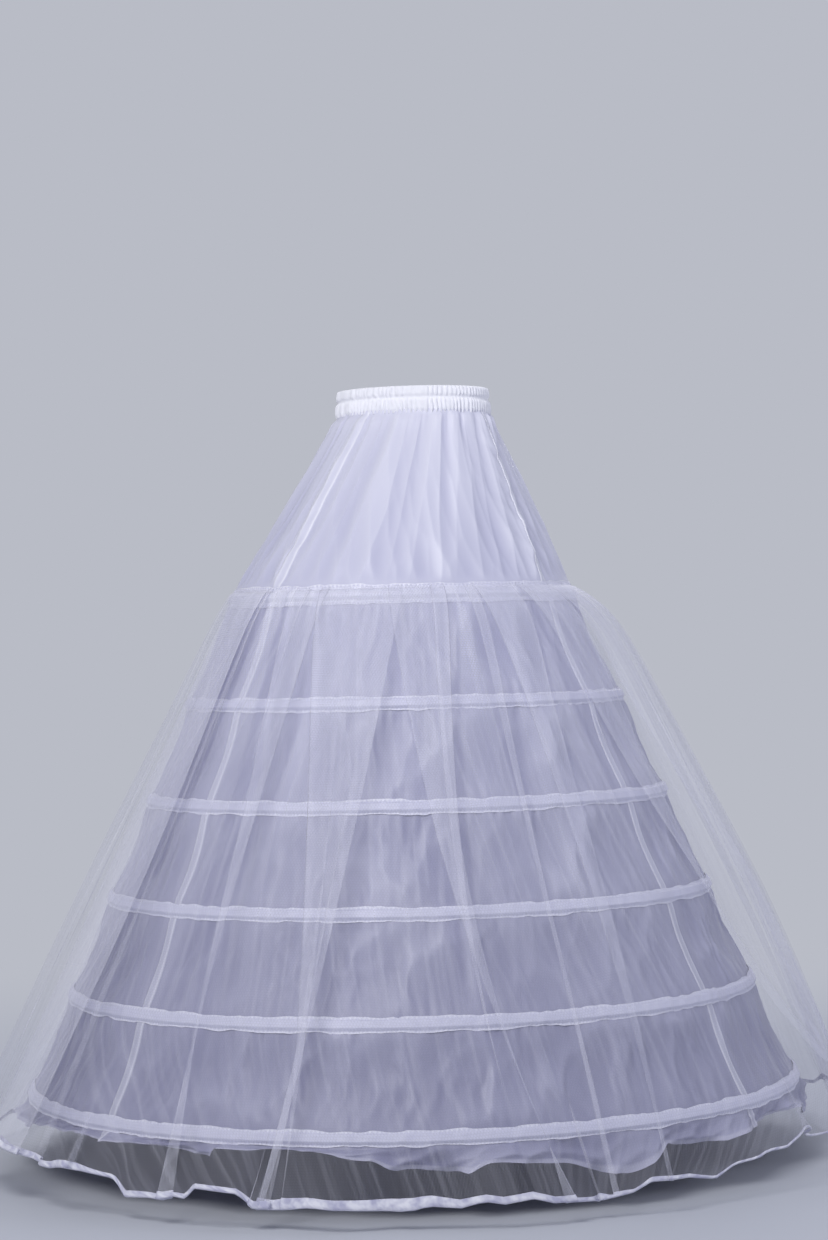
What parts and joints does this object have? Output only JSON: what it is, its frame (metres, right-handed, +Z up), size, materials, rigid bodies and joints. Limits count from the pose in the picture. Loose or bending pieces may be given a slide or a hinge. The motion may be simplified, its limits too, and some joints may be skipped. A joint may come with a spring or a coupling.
{
  "type": "hooped crinoline petticoat",
  "caption": "White hooped crinoline petticoat: shirred elastic waist, gored satin lining on sprung hoops in tape casings, and a sheer net overskirt with a ribbon-bound hem.",
  "frame": {"origin": "middle of the waist opening, level with the top edge of the waistband", "axes": "+Z up out of the waist opening, wearer's front towards -Y, wearer's left towards +X"},
  "size_m": [1.2421, 1.2405, 1.0479],
  "materials": {
    "shirred_band": "matt cotton-blend cloth, shirred",
    "elastic": "woven elastic",
    "satin_lining": "soft satin sheen",
    "coated_spring_steel": "white plastic coat over spring steel",
    "crimped_sleeve": "plain crimped sleeve",
    "casing_tape": "satin tape",
    "net": "sheer net",
    "satin_ribbon": "satin ribbon"
  },
  "bodies": {
    "root": {"waistband": "shirred_band", "waist_elastic_upper": "elastic", "waist_elastic_lower": "elastic", "lining_gore_front_left": "satin_lining", "lining_gore_back_left": "satin_lining", "lining_gore_back_right": "satin_lining", "lining_gore_front_right": "satin_lining", "hoop_1": "coated_spring_steel", "hoop_2": "coated_spring_steel", "hoop_3": "coated_spring_steel", "hoop_4": "coated_spring_steel", "hoop_5": "coated_spring_steel", "hoop_6": "coated_spring_steel", "hoop_joiner_1": "crimped_sleeve", "hoop_joiner_2": "crimped_sleeve", "hoop_joiner_3": "crimped_sleeve", "hoop_joiner_4": "crimped_sleeve", "hoop_joiner_5": "crimped_sleeve", "hoop_joiner_6": "crimped_sleeve", "hoop_casing_1": "casing_tape", "hoop_casing_2": "casing_tape", "hoop_casing_3": "casing_tape", "hoop_casing_4": "casing_tape", "hoop_casing_5": "casing_tape", "hoop_casing_6": "casing_tape", "net_panel_front_left": "net", "net_panel_back_left": "net", "net_panel_back_right": "net", "net_panel_front_right": "net", "net_hem_binding": "satin_ribbon"}
  },
  "joints": []
}
